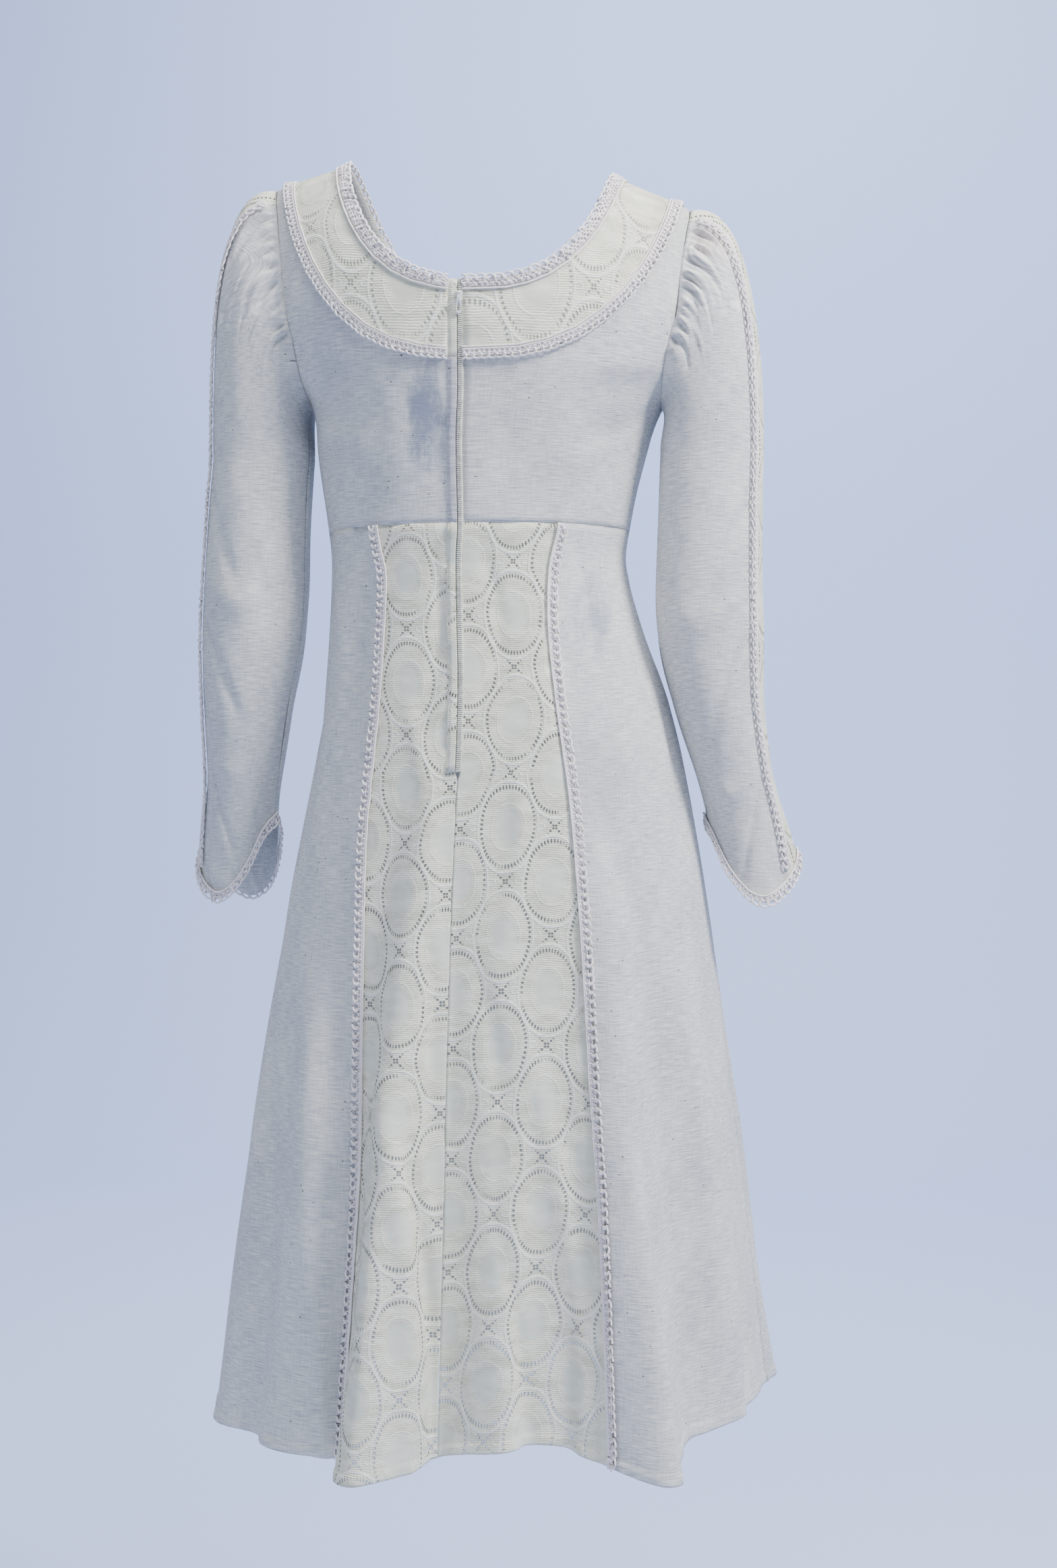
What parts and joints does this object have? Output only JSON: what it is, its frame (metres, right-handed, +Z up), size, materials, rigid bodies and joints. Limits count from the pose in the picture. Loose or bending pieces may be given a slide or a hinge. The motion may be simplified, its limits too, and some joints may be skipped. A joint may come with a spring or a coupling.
{
  "type": "prairie dress",
  "caption": "Empire-line prairie dress in linen and lace, worn form, with collar band, long gathered sleeves, flared skirt and back zip.",
  "frame": {"origin": "midway between the shoulders, where the wearer holds the dress up", "axes": "+Z up, the back of the dress faces -Y, +X towards the wearer's right"},
  "size_m": [0.5268, 0.4346, 1.0907],
  "materials": {
    "linen": "slubby natural plain weave",
    "lace": "cream oval-pattern cotton lace",
    "crochet": "fluffy white crochet edging",
    "zip": "off-white nylon"
  },
  "bodies": {
    "dress": {"bodice_back_left": "linen", "bodice_back_right": "linen", "bodice_front": "linen", "collar_back_left": "lace", "collar_back_right": "lace", "collar_front": "lace", "neck_trim_back_left": "crochet", "neck_trim_back_right": "crochet", "neck_trim_front": "crochet", "collar_trim_back_left": "crochet", "collar_trim_back_right": "crochet", "collar_trim_front": "crochet", "skirt_side_back_left": "linen", "skirt_side_back_right": "linen", "skirt_front": "linen", "skirt_lace_left": "lace", "skirt_lace_right": "lace", "skirt_trim_left": "crochet", "skirt_trim_right": "crochet", "sleeve_left_back": "linen", "sleeve_left_front": "linen", "sleeve_left_lace": "lace", "sleeve_left_trim_back": "crochet", "sleeve_left_trim_front": "crochet", "cuff_trim_left": "crochet", "sleeve_right_back": "linen", "sleeve_right_front": "linen", "sleeve_right_lace": "lace", "sleeve_right_trim_back": "crochet", "sleeve_right_trim_front": "crochet", "cuff_trim_right": "crochet", "zip_chain": "zip", "placket_collar": "lace", "placket_bodice": "linen", "placket_skirt": "lace", "zip_slider": "zip"},
    "zip_pull": {"zip_pull": "zip"}
  },
  "joints": [
    {"name": "pull_swing", "type": "hinge", "parent": "dress", "child": "zip_pull", "pos_m": [0.00132, -0.10333, -0.11315], "axis": [-1, 0, 0], "range_deg": [0, 140]}
  ]
}
